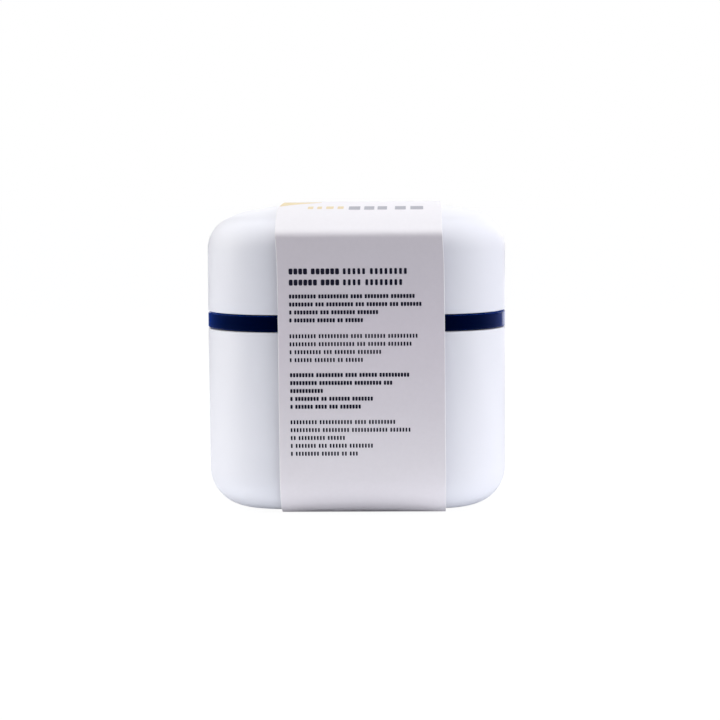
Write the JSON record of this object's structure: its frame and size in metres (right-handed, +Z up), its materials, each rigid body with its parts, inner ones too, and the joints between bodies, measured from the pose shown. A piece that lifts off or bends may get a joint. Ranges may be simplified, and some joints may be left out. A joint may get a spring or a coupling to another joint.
{
  "type": "denture case",
  "caption": "Rounded white denture bath with a hinged lid, navy collar, push button, lift-out strainer with a handle and a card sleeve that slides off sideways.",
  "frame": {"origin": "on the table, at the middle of the card sleeve's underside and under the middle of the case", "axes": "+Z up, +Y towards the push button, -Y the hinge side that the picture shows, +X to the right in the picture"},
  "size_m": [0.09, 0.0948, 0.0919],
  "materials": {
    "white_plastic": "satin moulded",
    "navy_plastic": "glossy moulded",
    "silicone": "soft, matt",
    "steel": "drawn wire and pin",
    "card": "coated white card, satin"
  },
  "bodies": {
    "base": {"tub": "white_plastic", "band_collar": "navy_plastic", "seal_ring": "silicone", "button_spring_left": "steel", "button_spring_right": "steel"},
    "lid_body": {"lid": "white_plastic", "hinge_pin": "steel"},
    "button": {"latch_button": "navy_plastic"},
    "strainer": {"strainer_basket": "navy_plastic"},
    "handle": {"strainer_handle": "navy_plastic"},
    "sleeve": {"card_sleeve": "card"}
  },
  "joints": [
    {"name": "lid_hinge", "type": "hinge", "parent": "base", "child": "lid_body", "pos_m": [0, -0.044, 0.0571], "axis": [1, 0, 0], "range_deg": [0, 100], "deforming": ["card_sleeve"]},
    {"name": "sleeve_slide", "type": "slide", "parent": "base", "child": "sleeve", "axis": [1, 0, 0], "range_m": [0, 0.077]},
    {"name": "button_press", "type": "slide", "parent": "base", "child": "button", "axis": [0, -1, 0], "range_m": [0, 0.001], "stiffness_N_per_m": 600, "springref_m": -0.0012, "deforming": ["button_spring_left", "button_spring_right"]},
    {"name": "strainer_lift", "type": "slide", "parent": "base", "child": "strainer", "axis": [0, 0, 1], "range_m": [0, 0.03]},
    {"name": "handle_swing", "type": "hinge", "parent": "strainer", "child": "handle", "pos_m": [0, 0, 0.0486], "axis": [1, 0, 0], "range_deg": [0, 180]}
  ],
  "couplings": [
    {"joint": "sleeve_slide", "follows": "lid_hinge", "m_per_rad": 0.044}
  ]
}
